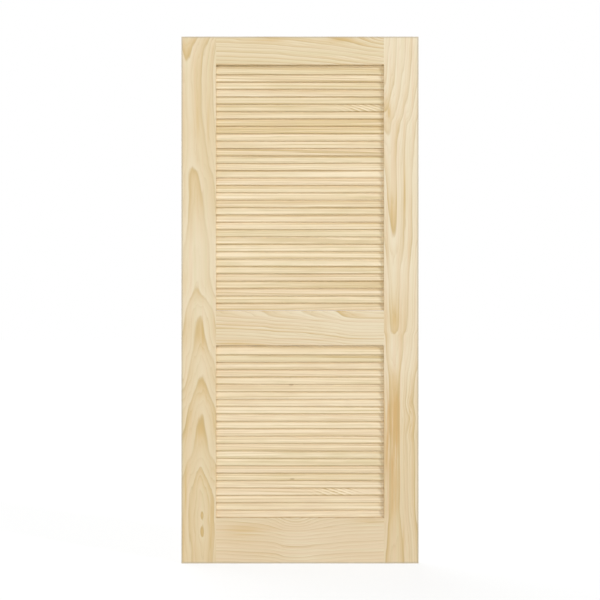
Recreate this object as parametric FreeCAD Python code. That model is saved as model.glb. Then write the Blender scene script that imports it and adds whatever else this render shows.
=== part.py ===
import FreeCAD, Part
import math
import os

from FreeCAD import Vector

# Louvred interior door slab of bare pine, in millimetres.
# Two stiles and three rails frame two openings. Fixed slats fill the openings, each leaning back
# from its front lower edge, with both ends housed in slanted mortises in the stiles.
# The origin is on the hinge edge, at the foot of the door and midway through its thickness.
# +X runs from the hinge edge to the lock edge, -Y faces the viewer and +Z is up.

# Slab
DOOR_WIDTH = 914.4
DOOR_HEIGHT = 2032.0
DOOR_THICKNESS = 34.925

# Stiles and rails
STILE_WIDTH = 133.35
TOP_RAIL_HEIGHT = 107.95
LOCK_RAIL_HEIGHT = 133.35
BOTTOM_RAIL_HEIGHT = 174.625
LOCK_RAIL_MIDDLE = 908.05  # above the foot of the door
ARRIS_RADIUS = 1.2  # the lightly sanded corners of the frame

# Slats
SLAT_WIDTH = 38.1
SLAT_THICKNESS = 5.56
SLAT_TILT = 20.0  # degrees from upright
SLAT_RAIL_GAP = 0.8  # between a rail and the slat next to it
UPPER_SLATS = 33
LOWER_SLATS = 23

# Mortises
MORTISE_DEPTH = 9.5
MORTISE_CLEARANCE = 0.15  # all round a slat's section
SLAT_END_CLEARANCE = 0.3  # between a slat's end and the mortise floor

SLATS_IN_NODE = 2

# Worked out from the sizes above
FRONT = -DOOR_THICKNESS / 2
BACK = DOOR_THICKNESS / 2
OPENING_WIDTH = DOOR_WIDTH - 2 * STILE_WIDTH
LOCK_RAIL_FOOT = LOCK_RAIL_MIDDLE - LOCK_RAIL_HEIGHT / 2
LOCK_RAIL_TOP = LOCK_RAIL_MIDDLE + LOCK_RAIL_HEIGHT / 2
TOP_RAIL_FOOT = DOOR_HEIGHT - TOP_RAIL_HEIGHT
LOWER_OPENING = (BOTTOM_RAIL_HEIGHT, LOCK_RAIL_FOOT)
UPPER_OPENING = (LOCK_RAIL_TOP, TOP_RAIL_FOOT)


def slat_heights(opening, count):
    """Heights of the slats' middles, spread evenly over an opening from the top one down."""
    foot, top = opening
    flat = SLAT_WIDTH - SLAT_THICKNESS
    slat_rise = flat * math.cos(math.radians(SLAT_TILT)) + SLAT_THICKNESS
    highest = top - SLAT_RAIL_GAP - slat_rise / 2
    lowest = foot + SLAT_RAIL_GAP + slat_rise / 2
    pitch = (highest - lowest) / (count - 1)
    return [highest - i * pitch for i in range(count)]


def tilted_bar(outline, length, start, height):
    """A bar along +X from an upright outline about the X axis, leaning back by the slats' tilt."""
    bar = Part.Face(outline).extrude(Vector(length, 0, 0))
    bar.rotate(Vector(), Vector(1, 0, 0), -SLAT_TILT)
    bar.translate(Vector(start, 0, height))
    return bar


def slat(height):
    """One slat with fully rounded edges, reaching into the mortises of both stiles."""
    side = SLAT_THICKNESS / 2
    reach = SLAT_WIDTH / 2
    flat = reach - side
    front_foot = Vector(0, -side, -flat)
    back_foot = Vector(0, side, -flat)
    front_head = Vector(0, -side, flat)
    back_head = Vector(0, side, flat)
    outline = Part.Wire(
        [
            Part.Arc(front_foot, Vector(0, 0, -reach), back_foot).toShape(),
            Part.LineSegment(back_foot, back_head).toShape(),
            Part.Arc(back_head, Vector(0, 0, reach), front_head).toShape(),
            Part.LineSegment(front_head, front_foot).toShape(),
        ]
    )
    housed = MORTISE_DEPTH - SLAT_END_CLEARANCE
    return tilted_bar(outline, OPENING_WIDTH + 2 * housed, STILE_WIDTH - housed, height)


def mortise_cutter(height):
    """The slanted pocket for one slat end, run on past the stile's inner edge. Three flats close
    round each rounded edge of the slat, a clearance away from it."""
    side = SLAT_THICKNESS / 2 + MORTISE_CLEARANCE
    reach = SLAT_WIDTH / 2 + MORTISE_CLEARANCE
    half_flat = side * math.tan(math.radians(45 / 2))
    shoulder = reach - side + half_flat
    upper_half = [(side, shoulder), (half_flat, reach), (-half_flat, reach), (-side, shoulder)]
    lower_half = [(-y, -z) for y, z in upper_half]
    corners = [Vector(0, y, z) for y, z in upper_half + lower_half]
    outline = Part.makePolygon(corners + corners[:1])
    return tilted_bar(outline, 2 * MORTISE_DEPTH, STILE_WIDTH - MORTISE_DEPTH, height)


def arris_cutters(opening):
    """What sanding takes off the stile's two inner arrises beside an opening."""
    foot, top = opening
    height = top - foot
    strip = Part.makeBox(ARRIS_RADIUS, ARRIS_RADIUS, height)
    back_strip = strip.cut(Part.makeCylinder(ARRIS_RADIUS, height))
    front_strip = back_strip.mirror(Vector(), Vector(0, 1, 0))
    inset = STILE_WIDTH - ARRIS_RADIUS
    back_strip.translate(Vector(inset, BACK - ARRIS_RADIUS, foot))
    front_strip.translate(Vector(inset, FRONT + ARRIS_RADIUS, foot))
    return [back_strip, front_strip]


def sanded(plank, inner_edge=None):
    """A plank with its arrises rounded, save at the ends of a rail, at the stile's inner edge, where
    the rails butt, and at the foot of the door, which is left square for trimming."""
    upright = inner_edge is not None
    arrises = []
    for edge in plank.Edges:
        ends = [v.Point for v in edge.Vertexes]
        across = ends[0].x != ends[1].x
        at_foot = all(abs(point.z) < ARRIS_RADIUS for point in ends)
        on_joint = upright and all(abs(point.x - inner_edge) < ARRIS_RADIUS for point in ends)
        if not at_foot and not on_joint and (upright or across):
            arrises.append(edge)
    return plank.makeFillet(ARRIS_RADIUS, arrises)


def left_stile():
    """The hinge stile: sanded outer arrises, and a mortise for each slat."""
    plank = Part.makeBox(STILE_WIDTH, DOOR_THICKNESS, DOOR_HEIGHT, Vector(0, FRONT, 0))
    plank = sanded(plank, STILE_WIDTH)
    heights = slat_heights(UPPER_OPENING, UPPER_SLATS) + slat_heights(LOWER_OPENING, LOWER_SLATS)
    mortises = [mortise_cutter(height) for height in heights]
    return plank.cut(mortises + arris_cutters(UPPER_OPENING) + arris_cutters(LOWER_OPENING))


def right_stile(twin):
    """The lock stile, the left one's mirror image across the middle of the door."""
    return twin.mirror(Vector(DOOR_WIDTH / 2, 0, 0), Vector(1, 0, 0))


def rail(foot, height):
    """A rail butted between the stiles, with its long arrises sanded."""
    corner = Vector(STILE_WIDTH, FRONT, foot)
    return sanded(Part.makeBox(OPENING_WIDTH, DOOR_THICKNESS, height, corner))


def slat_nodes(family, heights):
    """The slats of one opening, numbered from the top and shared out over named nodes."""
    nodes = {}
    for first in range(0, len(heights), SLATS_IN_NODE):
        group = [slat(height) for height in heights[first : first + SLATS_IN_NODE]]
        numbers = "_".join(f"{first + i + 1:02d}" for i in range(len(group)))
        nodes[f"{family}_slats_{numbers}"] = Part.makeCompound(group)
    return nodes


hinge_stile = left_stile()
door = {
    "left_stile": hinge_stile,
    "right_stile": right_stile(hinge_stile),
    "top_rail": rail(TOP_RAIL_FOOT, TOP_RAIL_HEIGHT),
    "lock_rail": rail(LOCK_RAIL_FOOT, LOCK_RAIL_HEIGHT),
    "bottom_rail": rail(0, BOTTOM_RAIL_HEIGHT),
    **slat_nodes("upper", slat_heights(UPPER_OPENING, UPPER_SLATS)),
    **slat_nodes("lower", slat_heights(LOWER_OPENING, LOWER_SLATS)),
}

os.makedirs("parts", exist_ok=True)
for name, shape in door.items():
    shape.exportStep(f"parts/{name}.step")
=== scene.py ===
import math
import random
from collections import namedtuple

import bmesh
import bpy
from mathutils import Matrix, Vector


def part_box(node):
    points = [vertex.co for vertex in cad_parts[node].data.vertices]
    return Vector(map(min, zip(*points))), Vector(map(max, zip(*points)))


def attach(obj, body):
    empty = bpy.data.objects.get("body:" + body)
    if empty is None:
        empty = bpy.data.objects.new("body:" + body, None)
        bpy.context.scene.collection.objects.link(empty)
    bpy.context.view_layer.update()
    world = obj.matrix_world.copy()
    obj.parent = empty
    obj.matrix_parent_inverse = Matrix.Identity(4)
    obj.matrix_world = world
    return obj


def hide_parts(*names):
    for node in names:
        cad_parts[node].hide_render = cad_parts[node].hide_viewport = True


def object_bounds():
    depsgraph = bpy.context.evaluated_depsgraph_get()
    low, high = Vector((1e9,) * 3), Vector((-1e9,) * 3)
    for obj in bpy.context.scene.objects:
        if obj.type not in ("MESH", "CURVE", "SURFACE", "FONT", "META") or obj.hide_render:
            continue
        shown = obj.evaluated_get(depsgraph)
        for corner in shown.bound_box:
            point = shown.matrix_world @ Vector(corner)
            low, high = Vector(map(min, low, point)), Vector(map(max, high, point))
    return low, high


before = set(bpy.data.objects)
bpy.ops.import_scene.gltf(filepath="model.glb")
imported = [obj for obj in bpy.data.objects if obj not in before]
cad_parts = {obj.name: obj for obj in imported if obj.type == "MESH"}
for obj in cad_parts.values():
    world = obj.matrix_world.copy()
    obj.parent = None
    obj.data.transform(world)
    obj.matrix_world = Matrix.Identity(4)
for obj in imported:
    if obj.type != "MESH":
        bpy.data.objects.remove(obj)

# A louvred door slab of bare, sanded pine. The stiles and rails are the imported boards, each with its
# own growth rings. The slats are modelled here, each one slightly bowed and with its own tone.
# Metres. +X runs from the hinge edge to the lock edge, -Y faces the viewer and +Z is up.

# Door, as packed
DOOR_LOW, DOOR_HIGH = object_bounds()
DOOR_MIDDLE = (DOOR_LOW + DOOR_HIGH) / 2
FRONT = DOOR_LOW.y
BACK = DOOR_HIGH.y
LOCK_RAIL_LOW, LOCK_RAIL_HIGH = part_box("lock_rail")
SLAT_NODES = sorted(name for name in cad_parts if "_slats_" in name)

# One slat, measured on the node that holds a single one
SLAT_LOW, SLAT_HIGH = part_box("upper_slats_33")
SLAT_THICKNESS = 0.00556
SLAT_LENGTH = SLAT_HIGH.x - SLAT_LOW.x
SLAT_RISE = SLAT_HIGH.z - SLAT_LOW.z
SLAT_RUN = SLAT_HIGH.y - SLAT_LOW.y
SLAT_TILT = math.atan2(SLAT_RUN - SLAT_THICKNESS, SLAT_RISE - SLAT_THICKNESS)
SLAT_WIDTH = SLAT_THICKNESS + math.hypot(SLAT_RUN - SLAT_THICKNESS, SLAT_RISE - SLAT_THICKNESS)
EDGE_ROUNDING = SLAT_THICKNESS * 0.495  # a hair under half, so that front and back don't quite meet
EDGE_SEGMENTS = 5
LENGTH_CUTS = 15
SMOOTH_ANGLE = math.radians(40)
END_ZONE = SLAT_LENGTH * 0.49  # only the points of a slat's end lie further from its middle
LARGEST_BOW = 0.0009
LARGEST_TWIST = math.radians(0.25)
SLAT_SEED = 7

# Slats whose grain is feathered beside a branch: distance from the hinge edge
FEATHERS = {"upper_slat_06": 0.704, "lower_slat_20": 0.600}
FEATHER_REACH = 0.075  # to each side
FEATHER_WIDTH = 0.0115  # from one stroke to the next, across the slat
FEATHER_STRIDE = 0.032  # and along it
# Slats with a pin knot: distance from the hinge edge and height above the slat's middle line
PIN_KNOTS = {"lower_slat_18": (0.427, -0.014), "lower_slat_06": (0.423, 0.008)}
KNOT_REACH = 0.010  # to each side
KNOT_RISE = 0.003  # up and down
FAR_OFF = -9.0  # place of the branch and the knot on slats that have none
# Slats that stand out from the rest of their field
GOLDEN_SLATS = ("upper_slat_08", "upper_slat_09")
PALE_SLATS = ("upper_slat_10", "upper_slat_15", "upper_slat_25", "upper_slat_33", "lower_slat_11")

# Camera and light
CAMERA_LENS = 85
SENSOR_WIDTH = 36
FRAME_WIDTH = 2.314  # what the picture spans at the front of the door
SKY_STRENGTH = 0.42
SKY_TINT = (1.01, 1.01, 0.90, 1.0)
LAMP_TINT = (0.97, 1.0, 1.10)
LAMP_DISTANCE = 2
# Each lamp: direction that it shines from, strength and spread
LAMPS = {
    "key_light": (Vector((1.15, -1.0, 0.60)), 1.19, 0.05),
    "front_fill": (Vector((-0.15, -1.0, 0.05)), 1.06, 0.60),
    "back_fill": (Vector((-0.60, 1.0, 0.60)), 1.90, 1.20),
}
WHITE = (1.0, 1.0, 1.0, 1.0)
FLOOR_SIZE = 60.0
FLOOR_TONE = (0.75, 0.75, 0.75, 1.0)
FLOOR_ROUGHNESS = 0.9
FLOOR_GLOW = 1.17
FLOOR_WHITE = 0.68  # share of plain white in what the camera sees, so that a faint shadow stays

# Bare pine
PINE_ROUGHNESS = 0.62
FIBRE_ROUGHNESS = 0.15
BOARD_RING_GLOSS = 0.10  # how much smoother the dark wood of a ring is
SLAT_RING_GLOSS = 0.08
PINE_SPECULAR = 0.28
RELIEF_STRENGTH = 0.25
RELIEF_DEPTH = 0.0006
# How far each feature stands out from the surface, as a share of that depth
FILL_RELIEF = 0.4
LINE_RELIEF = 0.3
FINE_LINE_RELIEF = 0.2
SLAT_LINE_RELIEF = 0.4
FIBRE_RELIEF = 0.5

# A growth ring: how far across it the dark wood starts to fade, how steeply its fill and its line
# darken up to there, how strong the weakest ring is and how much chance adds to that
RING_TURN = 0.87
FILL_POWER = 1.6
LINE_POWER = 8.0
WEAKEST_RING = 0.4
RING_CHANCE = 0.8

# Noise in the boards: waves in a metre along the grain, across it and through the board
HEART_LINE_WAVES = (5.0, 0.0, 0.0)
RIPPLE_WAVES = (5.0, 26.0, 26.0)
FINE_RIPPLE_WAVES = (7.0, 50.0, 50.0)
CLOUD_WAVES = (2.5, 14.0, 14.0)
STREAK_WAVES = (1.6, 70.0, 70.0)
FIBRE_WAVES = (8.0, 330.0, 330.0)
FLECK_WAVES = (6.0, 110.0, 110.0)
RING_WIDTH_WAVES = (0.55, 0.0, 0.0)  # in a ring
FIBRE_DETAIL = 3.0

# Rings of the boards
HEART_LINE_SWAY = 0.010
RING_WIDTH_SWAY = 1.1  # rings, as the ripples are
RIPPLE = 0.45
FINE_RIPPLE = 1.6
FINE_RINGS = 3.0  # in a ring
FINE_SEED = 100  # sets the strengths of the fine rings apart from the broad ones'
CATHEDRAL_WIDTH = 0.022  # to each side of the heart line, where the rings are boldest
HEART_EDGE = (0.002, -0.003)  # where heartwood begins and where it is full
HEART_FADE = (-0.110, -0.020)  # where it has faded further in, and where it is still full
HEART_RIPPLE = 0.004
# Painted shade: grey along the door's outer arrises, where the rounded edges turn away from the light
ARRIS_SHADE_SPAN = (0.0080, 0.0030)  # distance from the arris where grey begins, and where it is full

# How strongly each feature of the boards shows, where 1 is its full colour
BOARD_TINT = 0.50
HEART_SHARE = 0.72
PLAIN_FILL = 0.60
CATHEDRAL_FILL = 0.60  # added along the heart line
RING_SHARE = 0.85
LINE_SHARE = 0.80
FINE_RING_SHARE = 0.30
FINE_LINE_SHARE = 0.45
FIBRE_SHARE = 0.30
ARRIS_SHADE_SHARE = 0.55
END_GRAIN_SHARE = 0.45
HEART_CALM = 0.75  # how much of the rings heartwood hides
# How much the clouds, streaks and flecks vary that
CREAM_CLOUD = 1.1
HEART_CLOUD = 1.6
HEART_FLECK = 3.0
PATCH_STREAK = 2.0
LINE_CLOUD = 1.5
# Where a feature begins to show and where it shows in full
BOARD_TINT_SPAN = (0.0, 0.22)
FIBRE_SPAN = (0.05, 0.30)
END_GRAIN_SPAN = (0.7, 0.95)

# What chance gives each slat, in the order of the draws
SLAT_TRAITS = ("cut", "heart", "slope", "pith", "ring", "paleness", "hue", "fill", "line")
MILLIMETRES = 1000  # in a metre
TRAIT_STEP = 3001  # more than the door is tall in millimetres, so that no two draws share a seed

# Noise in the slats, as in the boards
SLAT_RIPPLE_WAVES = (3.0, 40.0, 40.0)
SLAT_CLOUD_WAVES = (2.0, 22.0, 22.0)
SLAT_STREAK_WAVES = (1.5, 130.0, 130.0)
SLAT_THREAD_WAVES = (0.9, 250.0, 250.0)
SLAT_FIBRE_WAVES = (7.0, 380.0, 380.0)
SLAT_HUE_WAVES = (9.0, 60.0, 60.0)
THREAD_DETAIL = 1.0
SLAT_SHIFT = (4.0, 0.0, 0.0)

# Rings of the slats
CUT_SPREAD = 9.0  # keeps the noise of one slat apart from the next one's
HEART_SPREAD = 0.13  # about the slat's middle line, from one extreme to the other
SLOPE_SPREAD = 0.07  # of the grain, likewise
NEAREST_PITH = 0.012
PITH_CHANCE = 0.040
NARROWEST_RING = 0.0050
RING_WIDTH_CHANCE = 0.0050
SLAT_RIPPLE = 0.7
FEATHER_RIPPLE = 1.2

# How strongly each feature of the slats shows
SLAT_TINT = 0.50
GOLDEN_SHARE = 0.65
FAIR_SHARE = 0.50
SLAT_RING_SHARE = 0.66
SLAT_LINE_SHARE = 0.55
DARK_STREAK_SHARE = 0.30
PALE_THREAD_SHARE = 0.55
DARK_THREAD_SHARE = 0.50
SLAT_FIBRE_SHARE = 0.20
KNOT_SHARE = 0.50
FEATHER_BOLDNESS = 0.7  # added to the rings' share
FAIR_CALM = 0.4  # taken from it
# How much chance and the clouds vary that
PALENESS_CHANCE = 0.45
FILL_CHANCE = 0.30
LINE_CHANCE = 0.50
PALENESS_CLOUD = 1.2
HUE_CLOUD = 1.6
# The same where the upper field and the lower one differ
PALENESS = (0.28, 0.46)
STREAKINESS = (1.6, 0.9)
RING_BOLDNESS = (1.0, 0.65)
PALE_STREAK_SHARE = (0.65, 0.40)
# Painted shade along each slat's lower rounded edge, deepening the shadow line beneath it
LOWER_EDGE_SHADE_SHARE = (0.25, 0.40)
# Where a feature begins to show and where it shows in full
SLAT_TINT_SPAN = (0.0, 0.5)
STREAK_SPAN = (0.06, 0.20)
THREAD_SPAN = (0.02, 0.18)
FEATHER_GAP_SPAN = (0.30, 0.05)
# Across the slat, where the painted shade of its lower edge begins and where it is full
LOWER_EDGE_SHADE_SPAN = (-0.0140, -0.0185)
KNOT_SPAN = (1.3, 0.5)


def wood_colour(red, green, blue):
    """A colour as a shader takes it, from the eight-bit values that it is seen as."""
    parts = [value / 255 for value in (red, green, blue)]
    light = [part / 12.92 if part <= 0.04045 else ((part + 0.055) / 1.055) ** 2.4 for part in parts]
    return (*light, 1.0)


CREAM = wood_colour(240, 225, 195)
STRAW = wood_colour(229, 208, 169)
ROSE = wood_colour(236, 211, 178)
OLIVE = wood_colour(226, 211, 168)
AMBER = wood_colour(218, 184, 123)
LATE_LINE = wood_colour(192, 169, 122)
HEARTWOOD = wood_colour(217, 175, 117)
END_GRAIN = wood_colour(199, 163, 110)
# Grey of the painted shade along the outer arrises
ARRIS_SHADE = wood_colour(184, 175, 156)
SLAT_CREAM = wood_colour(253, 236, 204)
SLAT_STRAW = wood_colour(239, 218, 177)
SLAT_GOLD = wood_colour(234, 209, 157)
SLAT_AMBER = wood_colour(211, 184, 132)
KNOT_BROWN = wood_colour(160, 122, 78)


class Wire:
    """A socket of a material's node tree. Arithmetic on wires adds Math nodes to the tree."""

    def __init__(self, tree, socket=None):
        self.tree = tree
        self.socket = socket

    def node(self, kind, settings=None, sockets=None, output=0):
        """A new node of a kind, its settings first, then the values or links of its sockets."""
        made = self.tree.nodes.new("ShaderNode" + kind)
        for name, value in (settings or {}).items():
            if name == "points":
                draw_curve(made.mapping, value)
            else:
                setattr(made, name, value)
        for key, value in (sockets or {}).items():
            if isinstance(value, Wire):
                self.tree.links.new(value.socket, made.inputs[key])
            else:
                made.inputs[key].default_value = value
        return Wire(self.tree, made.outputs[output])

    def other(self, output):
        """Another output of the node that this wire comes from."""
        return Wire(self.tree, self.socket.node.outputs[output])

    def math(self, operation, *values):
        """A Math node on numbers and wires."""
        return self.node("Math", {"operation": operation}, dict(enumerate(values)))

    def __add__(self, value):
        return self.math("ADD", self, value)

    def __sub__(self, value):
        return self.math("SUBTRACT", self, value)

    def __rsub__(self, value):
        return self.math("SUBTRACT", value, self)

    def __mul__(self, value):
        return self.math("MULTIPLY", self, value)

    def __truediv__(self, value):
        return self.math("DIVIDE", self, value)

    def __rtruediv__(self, value):
        return self.math("DIVIDE", value, self)

    def __pow__(self, value):
        return self.math("POWER", self, value)

    def __abs__(self):
        return self.math("ABSOLUTE", self)

    __radd__ = __add__
    __rmul__ = __mul__


# Places in a piece of wood: along the grain, across it, through the wood, all three as one vector,
# and what is added to that vector before it goes into noise
Grain = namedtuple("Grain", "along across depth place shift")


def draw_curve(mapping, points):
    """Lays a float curve through points that run from 0 to 1 both ways."""
    curve = mapping.curves[0]
    for (x, y), place in zip((points[0], points[-1]), curve.points):
        place.location = (x, y)
    for x, y in points[1:-1]:
        curve.points.new(x, y)
    mapping.update()


def along_board(place, points):
    """A value that follows given points of distance along a board and amount."""
    start, end = points[0][0], points[-1][0]
    most = max(amount for _, amount in points)
    shares = [((distance - start) / (end - start), amount / most) for distance, amount in points]
    way = (place - start) / (end - start)
    return place.node("FloatCurve", {"points": shares}, {"Value": way}) * most


def ease(value, low, high):
    """0 below low, 1 above high and a smooth step between them, either way round."""
    sockets = {"Value": value, "From Min": low, "From Max": high}
    return value.node("MapRange", {"interpolation_type": "SMOOTHSTEP"}, sockets)


def cloudy(grain, waves, detail=2.0):
    """Soft noise about 0, stretched along the grain."""
    moved = {0: grain.place, 1: waves, 2: grain.shift}
    spot = grain.place.node("VectorMath", {"operation": "MULTIPLY_ADD"}, moved)
    return spot.node("TexNoise", {}, {"Vector": spot, "Scale": 1.0, "Detail": detail}) - 0.5


def near(grain, spot):
    """1 at a spot along and across a board, fading to 0 over its length and width."""
    middle, height, length, width = spot
    far = (grain.along - middle) / length
    off = (grain.across - height) / width
    return 1.0 / (1.0 + far * far + off * off) ** 2.0


def late_wood(rings, seed):
    """How dark a growth ring is, from 0 to 1, as a broad fill and as a thin line at its outer edge.
    Each ring has its own strength."""
    share = rings.math("FRACT", rings)
    whole = rings.math("FLOOR", rings) + seed
    chance = rings.node("TexWhiteNoise", {"noise_dimensions": "1D"}, {"W": whole})
    edge = ease(share, 1.0, RING_TURN) * (chance * RING_CHANCE + WEAKEST_RING)
    return share**FILL_POWER * edge, share**LINE_POWER * edge


def blend(share, first, second):
    """From the first colour to the second as the share goes from 0 to 1."""
    return share.node("Mix", {"data_type": "RGBA"}, {0: share, 6: first, 7: second}, 2)


def two_tone(colour, value, span, above, below):
    """Tints a colour one way where a value is above 0 and another way where it is below. Each tint is
    a share and a colour, and the span is how far from 0 they begin and are full."""
    start, full = span
    share_above, tint_above = above
    share_below, tint_below = below
    colour = blend(ease(value, start, full) * share_above, colour, tint_above)
    return blend(ease(value, -start, -full) * share_below, colour, tint_below)


def new_material(name):
    """A new material and its node tree, which holds a plain shader."""
    material = bpy.data.materials.new(name)
    material.use_nodes = True
    return material, material.node_tree


def bare_pine(tree, colour, roughness, relief):
    """Finishes a pine material: sanded, unvarnished, with a little relief along the rings."""
    surface = tree.nodes["Principled BSDF"]
    surface.inputs["Specular IOR Level"].default_value = PINE_SPECULAR
    bump = {"Strength": RELIEF_STRENGTH, "Distance": RELIEF_DEPTH, "Height": relief}
    normal = relief.node("Bump", {}, bump)
    tree.links.new(colour.socket, surface.inputs["Base Color"])
    tree.links.new(roughness.socket, surface.inputs["Roughness"])
    tree.links.new(normal.socket, surface.inputs["Normal"])


Figure = namedtuple(
    "Figure",
    "along across seed pith ring axis arches amber cream rosy swirls patches heart",
)

# Growth rings of each board. Along and across are the axes of its face. The pith lies behind the face,
# and ring is the width of one ring. The arches say how many rings out the heart line of the face is at
# each distance along the board, so a cathedral has its tip wherever that count passes a whole number.
# The axis is where that heart line lies across the face. Amber and cream say how dark the rings are
# along the board and how pale the wood between them is. A board leans to rose if rosy is above 0 and to
# olive if it is below. A swirl is a spot along and across the board, its length and width, and the
# rings that it adds. A patch is such a spot, and how much more amber it is. Heartwood has an outer
# edge and a strength.
FIGURES = {
    "left_stile": Figure(
        along="Z",
        across="X",
        seed=3.0,
        pith=0.019,
        ring=0.044,
        axis=[
            (0.0, 0.080), (0.38, 0.075), (0.72, 0.079), (0.96, 0.068), (1.08, 0.060), (1.40, 0.055),
            (1.55, 0.046), (1.75, 0.032), (1.92, 0.021), (2.032, 0.021),
        ],
        arches=[
            (0.0, 1.35), (0.12, 1.24), (0.24, 1.26), (0.376, 2.0), (0.43, 2.45), (0.50, 2.70),
            (0.584, 3.0), (0.65, 3.5), (0.723, 4.0), (0.773, 4.21), (0.842, 4.61), (0.962, 5.0),
            (1.0815, 6.0), (1.213, 6.17), (1.27, 6.33), (1.38, 6.55), (1.483, 6.72), (1.552, 7.0),
            (1.66, 7.15), (1.80, 7.15), (1.918, 7.0), (2.032, 6.25),
        ],
        amber=[
            (0.0, 0.85), (0.15, 1.35), (0.33, 1.40), (0.42, 0.68), (0.54, 1.42), (0.64, 0.82),
            (0.71, 0.92), (0.78, 0.70), (0.90, 1.15), (1.00, 0.58), (1.06, 0.80), (1.20, 0.48),
            (1.46, 1.02), (1.60, 0.80), (1.80, 1.00), (2.032, 1.20),
        ],
        cream=[(0.0, 0.08), (0.60, 0.28), (1.20, 0.65), (1.45, 0.42), (2.032, 0.38)],
        rosy=0.0,
        swirls=[((0.121, 0.080, 0.042, 0.016), -0.50), ((0.186, 0.080, 0.022, 0.009), -0.45)],
        patches=[
            ((0.53, 0.073, 0.060, 0.020), 0.50),
            ((0.90, 0.066, 0.050, 0.024), 0.35),
            ((0.12, 0.114, 0.140, 0.004), 0.80),
            # This patch along the foot of the hinge edge is painted shade at the door's outer edge
            ((0.10, 0.005, 0.120, 0.006), 0.90),
            ((0.28, 0.016, 0.120, 0.005), 0.70),
            ((1.70, 0.104, 0.130, 0.007), 0.60),
            ((1.72, 0.062, 0.120, 0.009), 0.60),
        ],
        heart=None,
    ),
    "right_stile": Figure(
        along="Z",
        across="X",
        seed=11.0,
        pith=0.012,
        ring=0.030,
        axis=[
            (0.0, 0.8226), (0.50, 0.8215), (1.00, 0.8210), (1.24, 0.820), (1.378, 0.813),
            (1.55, 0.803), (1.687, 0.790), (1.80, 0.777), (2.032, 0.752),
        ],
        arches=[
            (0.0, 6.04), (0.129, 6.31), (0.22, 6.56), (0.50, 6.60), (0.704, 6.59), (0.76, 6.35),
            (0.827, 6.06), (0.877, 5.98), (0.90, 5.72), (0.95, 5.62), (1.10, 5.45), (1.18, 5.20),
            (1.242, 5.0), (1.378, 4.68), (1.55, 4.35), (1.687, 3.63), (1.729, 3.0), (1.861, 1.66),
            (2.032, 0.55),
        ],
        amber=[
            (0.0, 1.10), (0.20, 1.25), (0.45, 1.40), (0.62, 1.30), (0.72, 0.90), (0.80, 0.65),
            (0.90, 0.90), (1.00, 0.80), (1.12, 0.50), (1.24, 1.05), (1.39, 0.95), (1.47, 0.64),
            (1.75, 0.76), (2.032, 0.60),
        ],
        cream=[
            (0.0, 0.40), (0.50, 0.45), (0.80, 0.85), (1.00, 0.80), (1.15, 1.0), (1.60, 1.06),
            (2.032, 1.12),
        ],
        rosy=0.05,
        swirls=[
            ((0.620, 0.884, 0.034, 0.030), 0.30),
            ((0.560, 0.884, 0.030, 0.030), -0.25),
            ((0.490, 0.884, 0.036, 0.030), 0.28),
        ],
        patches=[
            ((0.945, 0.820, 0.060, 0.026), 0.75),
            ((1.36, 0.812, 0.060, 0.016), 0.35),
            ((1.42, 0.861, 0.160, 0.006), 0.90),
            ((1.74, 0.800, 0.045, 0.010), 0.80),
            ((0.51, 0.834, 0.090, 0.014), 0.55),
            ((0.56, 0.880, 0.080, 0.005), 0.70),
            ((0.52, 0.894, 0.080, 0.004), 0.60),
            ((0.09, 0.856, 0.080, 0.006), 0.60),
        ],
        heart=(
            [(0.0, 0.845), (0.20, 0.843), (0.30, 0.844), (0.66, 0.844), (0.76, 0.850), (0.95, 0.860)],
            [
                (0.0, 0.10), (0.16, 0.20), (0.22, 0.50), (0.34, 0.70), (0.41, 1.0), (0.56, 1.0),
                (0.64, 0.65), (0.70, 0.20), (0.78, 0.0),
            ],
        ),
    ),
    "top_rail": Figure(
        along="X",
        across="Z",
        seed=23.0,
        pith=0.045,
        ring=0.0150,
        axis=[(0.133, 2.060), (0.45, 2.050), (0.62, 2.040), (0.781, 2.036)],
        arches=[(0.133, 3.4), (0.45, 3.1), (0.60, 2.7), (0.70, 2.1), (0.781, 1.6)],
        amber=[(0.133, 1.20), (0.30, 1.40), (0.45, 1.30), (0.60, 1.50), (0.70, 1.60), (0.781, 1.50)],
        cream=[(0.133, 0.58), (0.45, 0.74), (0.781, 0.82)],
        rosy=-0.07,
        swirls=[((0.785, 2.040, 0.075, 0.035), -3.0)],
        patches=[((0.345, 2.028, 0.080, 0.018), 0.75), ((0.612, 2.024, 0.065, 0.020), 0.75)],
        heart=None,
    ),
    "lock_rail": Figure(
        along="X",
        across="Z",
        seed=37.0,
        pith=0.060,
        ring=0.0100,
        axis=[(0.133, 0.978), (0.781, 0.978)],
        arches=[
            (0.133, 3.6), (0.288, 3.0), (0.37, 2.45), (0.462, 2.0), (0.53, 1.45), (0.591, 1.0),
            (0.64, 0.45), (0.70, 0.20), (0.781, 0.10),
        ],
        amber=[(0.133, 1.30), (0.45, 1.45), (0.58, 1.30), (0.68, 1.10), (0.781, 1.00)],
        cream=[(0.133, 0.70), (0.45, 1.00), (0.781, 1.00)],
        rosy=0.03,
        swirls=[],
        patches=[((0.20, 0.850, 0.120, 0.020), 0.20)],
        heart=None,
    ),
    "bottom_rail": Figure(
        along="X",
        across="Z",
        seed=53.0,
        pith=0.020,
        ring=0.0140,
        axis=[(0.133, -0.10), (0.781, -0.10)],
        arches=[
            (0.133, 0.5), (0.28, 0.9), (0.36, 1.4), (0.435, 2.3), (0.52, 1.9), (0.64, 1.2),
            (0.781, 0.7),
        ],
        amber=[(0.133, 0.85), (0.36, 1.05), (0.46, 0.85), (0.60, 0.85), (0.781, 0.85)],
        cream=[(0.133, 0.70), (0.36, 0.70), (0.45, 1.10), (0.56, 0.85), (0.781, 0.80)],
        rosy=0.18,
        swirls=[((0.440, 0.170, 0.100, 0.050), 2.6)],
        patches=[((0.23, 0.120, 0.120, 0.050), 0.30), ((0.72, 0.158, 0.080, 0.018), 0.40)],
        heart=None,
    ),
}


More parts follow.
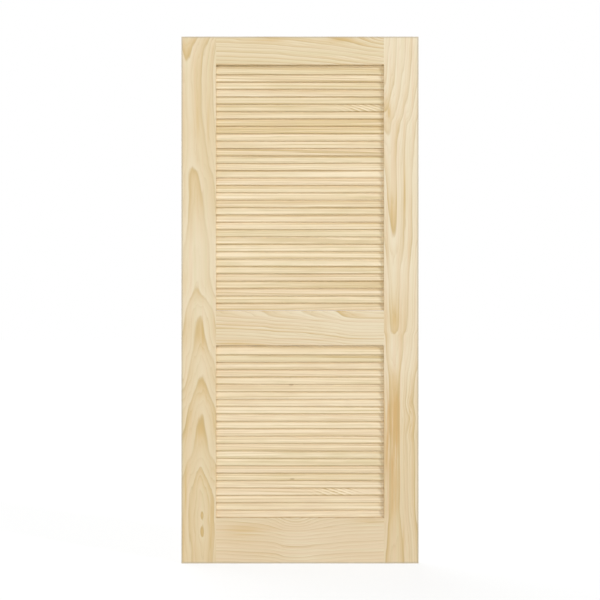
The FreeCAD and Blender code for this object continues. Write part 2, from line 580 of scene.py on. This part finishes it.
def board_grain(axes, figure):
    """Places in a board: along and across its face, and in from the front."""
    along, across = axes.other(figure.along), axes.other(figure.across)
    depth = axes.other("Y") - FRONT
    place = axes.node("CombineXYZ", {}, {0: along, 1: across, 2: depth})
    return Grain(along, across, depth, place, (figure.seed, figure.seed * 2, figure.seed * 3))


def board_rings(grain, figure, ripple):
    """How many rings out the wood of a board is, and how far from the heart line of its face."""
    sway = cloudy(grain, HEART_LINE_WAVES) * HEART_LINE_SWAY
    away = grain.across - along_board(grain.along, figure.axis) - sway
    below = grain.depth + figure.pith
    radius = ((away * away + below * below) ** 0.5 - figure.pith) / figure.ring
    outwards = grain._replace(place=radius.node("CombineXYZ", {}, {0: radius}))
    uneven = cloudy(outwards, RING_WIDTH_WAVES) * RING_WIDTH_SWAY
    rings = along_board(grain.along, figure.arches) + radius + uneven + ripple
    for spot, added in figure.swirls:
        rings = rings + near(grain, spot) * added
    return rings, away


def heartwood(grain, edge, strength, ripple):
    """How much the wood of a board is heartwood: it begins at an edge and fades further in."""
    inside = grain.across - along_board(grain.along, edge) + ripple * HEART_RIPPLE
    band = ease(inside, *HEART_EDGE) * ease(inside, *HEART_FADE)
    heart = band * along_board(grain.along, strength)
    return heart.math("MAXIMUM", heart, 0.0)


def arris(axes):
    """1 along the outer arrises of the door, where grey is painted in as the shade of the rounded
    edges, and 0 elsewhere.
    """
    x, y, z = axes, axes.other("Y"), axes.other("Z")
    beside = x.math("MINIMUM", x - DOOR_LOW.x, DOOR_HIGH.x - x)
    above = z.math("MINIMUM", z - DOOR_LOW.z, DOOR_HIGH.z - z)
    edge = x.math("MINIMUM", beside, above)
    face = y.math("MINIMUM", y - FRONT, BACK - y)
    return ease((edge * edge + face * face) ** 0.5, *ARRIS_SHADE_SPAN)


def board_pine(name, figure):
    """The pine of one stile or rail: cathedral rings, fine rings between them and long fibres."""
    material, tree = new_material(name + "_pine")
    place = Wire(tree).node("TexCoord", output="Object")
    axes = place.node("SeparateXYZ", {}, {0: place})
    grain = board_grain(axes, figure)
    ripple = cloudy(grain, RIPPLE_WAVES) * RIPPLE
    fine_ripple = cloudy(grain, FINE_RIPPLE_WAVES) * FINE_RIPPLE
    cloud = cloudy(grain, CLOUD_WAVES)
    streak = cloudy(grain, STREAK_WAVES)
    fibre = cloudy(grain, FIBRE_WAVES, FIBRE_DETAIL)

    rings, away = board_rings(grain, figure, ripple)
    fill, line = late_wood(rings, figure.seed)
    fill = fill * (PLAIN_FILL + CATHEDRAL_FILL / (1.0 + (away / CATHEDRAL_WIDTH) ** 2.0))
    fine_fill, fine_line = late_wood(rings * FINE_RINGS + fine_ripple, figure.seed + FINE_SEED)
    amber = along_board(grain.along, figure.amber)
    cream = along_board(grain.along, figure.cream)

    colour = blend(cream + cloud * CREAM_CLOUD, STRAW, CREAM)
    lean = streak + figure.rosy
    colour = two_tone(colour, lean, BOARD_TINT_SPAN, (BOARD_TINT, ROSE), (BOARD_TINT, OLIVE))
    if figure.heart:
        heart = heartwood(grain, *figure.heart, ripple)
        fleck = cloudy(grain, FLECK_WAVES)
        heart_share = HEART_SHARE + cloud * HEART_CLOUD + fleck * HEART_FLECK
        colour = blend(heart * heart_share, colour, HEARTWOOD)
        fill = fill * (1.0 - heart * HEART_CALM)
    for spot, strength in figure.patches:
        colour = blend(near(grain, spot) * (strength + streak * PATCH_STREAK), colour, AMBER)
    colour = blend(fill * amber * (RING_SHARE + cloud + streak), colour, AMBER)
    colour = blend(line * amber * (LINE_SHARE + cloud * LINE_CLOUD), colour, LATE_LINE)
    colour = blend(fine_fill * amber * (FINE_RING_SHARE + cloud), colour, AMBER)
    colour = blend(fine_line * amber * FINE_LINE_SHARE, colour, LATE_LINE)
    colour = blend(ease(fibre, *FIBRE_SPAN) * FIBRE_SHARE, colour, AMBER)
    # Painted shade along the outer arrises of the door
    colour = blend(arris(axes) * ARRIS_SHADE_SHARE, colour, ARRIS_SHADE)
    facing = abs(place.node("SeparateXYZ", {}, {0: place.other("Normal")}, figure.along))
    colour = blend(ease(facing, *END_GRAIN_SPAN) * END_GRAIN_SHARE, colour, END_GRAIN)

    roughness = PINE_ROUGHNESS - fill * BOARD_RING_GLOSS + fibre * FIBRE_ROUGHNESS
    relief = fill * FILL_RELIEF + line * LINE_RELIEF + fine_line * FINE_LINE_RELIEF
    bare_pine(tree, colour, roughness, relief + fibre * FIBRE_RELIEF)
    return material


def marked(tree, name):
    """What a slat was marked with under a name."""
    return Wire(tree).node("Attribute", {"attribute_name": name}, output="Fac")


def trait(number, name):
    """A number from 0 to 1 that chance gives a slat, the same all over it."""
    draw = SLAT_TRAITS.index(name) + 1
    seed = {"W": number + draw * TRAIT_STEP}
    return number.node("TexWhiteNoise", {"noise_dimensions": "1D"}, seed)


def by_field(lower, amounts):
    """The first of two amounts in the upper field of slats, and the second in the lower one."""
    upper_amount, lower_amount = amounts
    return upper_amount + lower * (lower_amount - upper_amount)


def slat_grain(axes, height, number):
    """Places in a slat: along it, across its width and through its thickness."""
    rise = axes.other("Z") - height
    across = rise * math.cos(SLAT_TILT) + axes.other("Y") * math.sin(SLAT_TILT)
    through = axes.other("Y") * math.cos(SLAT_TILT) - rise * math.sin(SLAT_TILT)
    cut = across + trait(number, "cut") * CUT_SPREAD
    place = axes.node("CombineXYZ", {}, {0: axes, 1: cut, 2: through})
    return Grain(axes, across, through, place, SLAT_SHIFT)


def slat_rings(grain, number, ripple):
    """How many rings out the wood of a slat is."""
    slope = (trait(number, "slope") - 0.5) * SLOPE_SPREAD
    heart = (trait(number, "heart") - 0.5) * HEART_SPREAD + (grain.along - DOOR_MIDDLE.x) * slope
    away = grain.across - heart
    below = grain.depth + NEAREST_PITH + trait(number, "pith") * PITH_CHANCE
    ring = NARROWEST_RING + trait(number, "ring") * RING_WIDTH_CHANCE
    return (away * away + below * below) ** 0.5 / ring + ripple


def slat_pine():
    """The pine of the slats. Each slat's height picks its own tone, ring width and slope of grain."""
    material, tree = new_material("slat_pine")
    place = Wire(tree).node("TexCoord", output="Object")
    axes = place.node("SeparateXYZ", {}, {0: place})
    height = marked(tree, "slat_height")
    number = height.math("ROUND", height * MILLIMETRES)
    lower = ease(height, LOCK_RAIL_HIGH.z, LOCK_RAIL_LOW.z)
    golden = marked(tree, "golden")
    fair = marked(tree, "fair")
    grain = slat_grain(axes, height, number)
    ripple = cloudy(grain, SLAT_RIPPLE_WAVES) * SLAT_RIPPLE
    cloud = cloudy(grain, SLAT_CLOUD_WAVES)
    streak = cloudy(grain, SLAT_STREAK_WAVES)
    thread = cloudy(grain, SLAT_THREAD_WAVES, THREAD_DETAIL)
    fibre = cloudy(grain, SLAT_FIBRE_WAVES, FIBRE_DETAIL)

    fill, line = late_wood(slat_rings(grain, number, ripple), number)
    feathered = 1.0 / (1.0 + ((grain.along - marked(tree, "feather_x")) / FEATHER_REACH) ** 4.0)
    feather = grain.across / FEATHER_WIDTH + grain.along / FEATHER_STRIDE + ripple * FEATHER_RIPPLE
    strokes, tips = late_wood(feather, number)
    plain = (1.0 - feathered) * by_field(lower, RING_BOLDNESS)
    fill = fill * plain + strokes * feathered
    line = line * plain + tips * feathered

    pale = by_field(lower, PALENESS) + trait(number, "paleness") * PALENESS_CHANCE
    pale = pale + cloud * PALENESS_CLOUD + streak * by_field(lower, STREAKINESS)
    colour = blend(pale, SLAT_STRAW, SLAT_CREAM)
    colour = blend(golden * GOLDEN_SHARE, colour, SLAT_GOLD)
    colour = blend(fair * FAIR_SHARE, colour, SLAT_CREAM)
    lean = trait(number, "hue") - 0.5 + cloudy(grain, SLAT_HUE_WAVES) * HUE_CLOUD
    colour = two_tone(colour, lean, SLAT_TINT_SPAN, (SLAT_TINT, ROSE), (SLAT_TINT, OLIVE))
    colour = blend(feathered * ease(strokes, *FEATHER_GAP_SPAN), colour, SLAT_CREAM)
    fill_share = SLAT_RING_SHARE + trait(number, "fill") * FILL_CHANCE
    fill_share = fill_share + feathered * FEATHER_BOLDNESS - fair * FAIR_CALM
    line_share = SLAT_LINE_SHARE + trait(number, "line") * LINE_CHANCE
    colour = blend(fill * fill_share, colour, SLAT_AMBER)
    colour = blend(line * line_share, colour, LATE_LINE)
    pale_streak = (by_field(lower, PALE_STREAK_SHARE), SLAT_CREAM)
    colour = two_tone(colour, streak, STREAK_SPAN, pale_streak, (DARK_STREAK_SHARE, SLAT_AMBER))
    pale_thread = (PALE_THREAD_SHARE, SLAT_CREAM)
    colour = two_tone(colour, thread, THREAD_SPAN, pale_thread, (DARK_THREAD_SHARE, SLAT_AMBER))
    colour = blend(ease(fibre, *FIBRE_SPAN) * SLAT_FIBRE_SHARE, colour, SLAT_AMBER)
    # Painted shade: a darker tint along each slat's lower rounded edge deepens the shadow line cast on
    # the slat below
    lower_edge_shade = ease(grain.across, *LOWER_EDGE_SHADE_SPAN)
    colour = blend(lower_edge_shade * by_field(lower, LOWER_EDGE_SHADE_SHARE), colour, LATE_LINE)

    knot_along = (grain.along - marked(tree, "knot_x")) / KNOT_REACH
    knot_across = (grain.across - marked(tree, "knot_rise")) / KNOT_RISE
    knot = (knot_along**2.0 + knot_across**2.0) ** 0.5
    colour = blend(ease(knot, *KNOT_SPAN) * KNOT_SHARE, colour, KNOT_BROWN)
    roughness = PINE_ROUGHNESS - line * SLAT_RING_GLOSS + fibre * FIBRE_ROUGHNESS
    bare_pine(tree, colour, roughness, line * SLAT_LINE_RELIEF + fibre * FIBRE_RELIEF)
    return material


def select_long_edges(piece):
    """Selects the edges that run the whole length of a strip, in edit mode."""
    bpy.context.tool_settings.mesh_select_mode = (False, True, False)
    bpy.ops.mesh.select_all(action="DESELECT")
    strip = bmesh.from_edit_mesh(piece.data)
    for edge in strip.edges:
        edge.select_set(edge.calc_length() > SLAT_LENGTH / 2)
    bmesh.update_edit_mesh(piece.data)


def slat_blank():
    """The strip that every slat is copied from: planed, with both long edges fully rounded."""
    bpy.ops.object.select_all(action="DESELECT")
    bpy.ops.mesh.primitive_cube_add(size=1, scale=(SLAT_LENGTH, SLAT_THICKNESS, SLAT_WIDTH))
    bpy.ops.object.transform_apply(location=True, rotation=True, scale=True)
    blank = bpy.context.object
    bpy.ops.object.mode_set(mode="EDIT")
    select_long_edges(blank)
    bpy.ops.mesh.bevel(offset=EDGE_ROUNDING, segments=EDGE_SEGMENTS, profile=0.5, affect="EDGES")
    select_long_edges(blank)
    bpy.ops.mesh.subdivide(number_cuts=LENGTH_CUTS)
    bpy.ops.object.mode_set(mode="OBJECT")
    bpy.ops.object.shade_smooth_by_angle(angle=SMOOTH_ANGLE)
    return blank


def deform(piece, method, axis, angle):
    """Applies a slight bend or twist to a piece that lies along X about the origin."""
    change = piece.modifiers.new(method, "SIMPLE_DEFORM")
    change.deform_method = method
    change.deform_axis = axis
    change.angle = angle
    bpy.ops.object.modifier_apply(modifier=change.name)


def mark(piece, name, value):
    """Gives every point of a piece the same named value, for its material to read."""
    layer = piece.data.attributes.new(name, "FLOAT", "POINT")
    layer.data.foreach_set("value", [value] * len(piece.data.vertices))


def mark_slat(slat, name, height):
    """Marks a slat with its height and with what sets its grain apart."""
    knot_x, knot_rise = PIN_KNOTS.get(name, (FAR_OFF, 0.0))
    mark(slat, "slat_height", height)
    mark(slat, "golden", float(name in GOLDEN_SLATS))
    mark(slat, "fair", float(name in PALE_SLATS))
    mark(slat, "feather_x", FEATHERS.get(name, FAR_OFF))
    mark(slat, "knot_x", knot_x)
    mark(slat, "knot_rise", knot_rise)


def lay_slat(name, node, height, blank, pine, draw):
    """One slat: a copy of the blank, bowed and twisted a little, leaning back in its mortises."""
    slat = blank.copy()
    slat.data = blank.data.copy()
    slat.name = slat.data.name = name
    bpy.context.scene.collection.objects.link(slat)
    bpy.ops.object.select_all(action="DESELECT")
    slat.select_set(True)
    bpy.context.view_layer.objects.active = slat

    bow = draw.uniform(-LARGEST_BOW, LARGEST_BOW)
    deform(slat, "BEND", "Z", 8 * bow / SLAT_LENGTH)  # a flat arc's angle, from its rise and length
    deform(slat, "TWIST", "X", draw.uniform(-LARGEST_TWIST, LARGEST_TWIST))
    end_offsets = [point.co.y for point in slat.data.vertices if point.co.x > END_ZONE]
    off_line = sum(end_offsets) / len(end_offsets)
    settle = Vector((0, -off_line * math.cos(SLAT_TILT), off_line * math.sin(SLAT_TILT)))
    slat.rotation_euler.x = -SLAT_TILT
    slat.location = Vector((DOOR_MIDDLE.x, 0, height)) + settle
    bpy.ops.object.transform_apply(location=True, rotation=True, scale=True)

    mark_slat(slat, name, height)
    slat.data.materials.clear()
    slat.data.materials.append(pine)
    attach(slat, "root")
    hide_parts(node)


def lay_slats():
    """Every slat of both openings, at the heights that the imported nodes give."""
    blank = slat_blank()
    pine = slat_pine()
    draw = random.Random(SLAT_SEED)
    for node in SLAT_NODES:
        family, numbers = node.split("_slats_")
        low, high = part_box(node)
        heights = (high.z - SLAT_RISE / 2, low.z + SLAT_RISE / 2)
        for number, height in zip(numbers.split("_"), heights):
            lay_slat(f"{family}_slat_{number}", node, height, blank, pine, draw)
    bpy.data.objects.remove(blank)


def dress_boards():
    """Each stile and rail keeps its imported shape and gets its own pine."""
    for name, figure in FIGURES.items():
        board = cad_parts[name]
        board.data.materials.clear()
        board.data.materials.append(board_pine(name, figure))


def shown(tree):
    """1 for rays that show a surface to the camera, straight or mirrored, and 0 for all others."""
    path = Wire(tree).node("LightPath", output="Is Camera Ray")
    rays = path + path.other("Is Glossy Ray") + path.other("Is Transmission Ray")
    return rays.math("MINIMUM", rays, 1.0)


def lay_floor():
    """A plain pale floor under the door, close to white where the camera sees it."""
    bpy.ops.object.select_all(action="DESELECT")
    bpy.ops.mesh.primitive_plane_add(size=FLOOR_SIZE, location=(DOOR_MIDDLE.x, 0, DOOR_LOW.z))
    floor = bpy.context.object
    floor.name = "floor"
    material, tree = new_material("pale_floor")
    surface = tree.nodes["Principled BSDF"]
    surface.inputs["Base Color"].default_value = FLOOR_TONE
    surface.inputs["Roughness"].default_value = FLOOR_ROUGHNESS
    lit = Wire(tree, surface.outputs[0])
    white = lit.node("Emission", {}, {"Color": WHITE, "Strength": FLOOR_GLOW})
    both = lit.node("MixShader", {}, {0: shown(tree) * FLOOR_WHITE, 1: lit, 2: white})
    tree.links.new(both.socket, tree.nodes["Material Output"].inputs["Surface"])
    floor.data.materials.append(material)


def light_studio():
    """Even light from all round, a key from the upper right, and soft fills from front and back."""
    world = bpy.data.worlds.new("studio")
    bpy.context.scene.world = world
    world.use_nodes = True
    tree = world.node_tree
    backdrop = shown(tree)
    level = SKY_STRENGTH + backdrop * (1.0 - SKY_STRENGTH)
    tint = blend(backdrop, SKY_TINT, WHITE)
    sky = tree.nodes["Background"]
    tree.links.new(tint.socket, sky.inputs["Color"])
    tree.links.new(level.socket, sky.inputs["Strength"])
    for name, (direction, strength, spread) in LAMPS.items():
        bpy.ops.object.light_add(type="SUN", location=DOOR_MIDDLE + direction * LAMP_DISTANCE)
        lamp = bpy.context.object
        lamp.name = name
        lamp.rotation_euler = direction.to_track_quat("Z", "Y").to_euler()
        lamp.data.energy = strength
        lamp.data.angle = spread
        lamp.data.color = LAMP_TINT


def place_camera():
    """Square on to the middle of the door, as far off as the lens needs for the picture's width."""
    distance = FRAME_WIDTH * CAMERA_LENS / SENSOR_WIDTH
    spot = (DOOR_MIDDLE.x, FRONT - distance, DOOR_MIDDLE.z)
    bpy.ops.object.camera_add(location=spot, rotation=(math.pi / 2, 0, 0))
    camera = bpy.context.object
    camera.data.lens = CAMERA_LENS
    camera.data.sensor_width = SENSOR_WIDTH
    bpy.context.scene.camera = camera


place_camera()
light_studio()
lay_floor()
dress_boards()
lay_slats()

bpy.context.scene.view_settings.view_transform = "Standard"
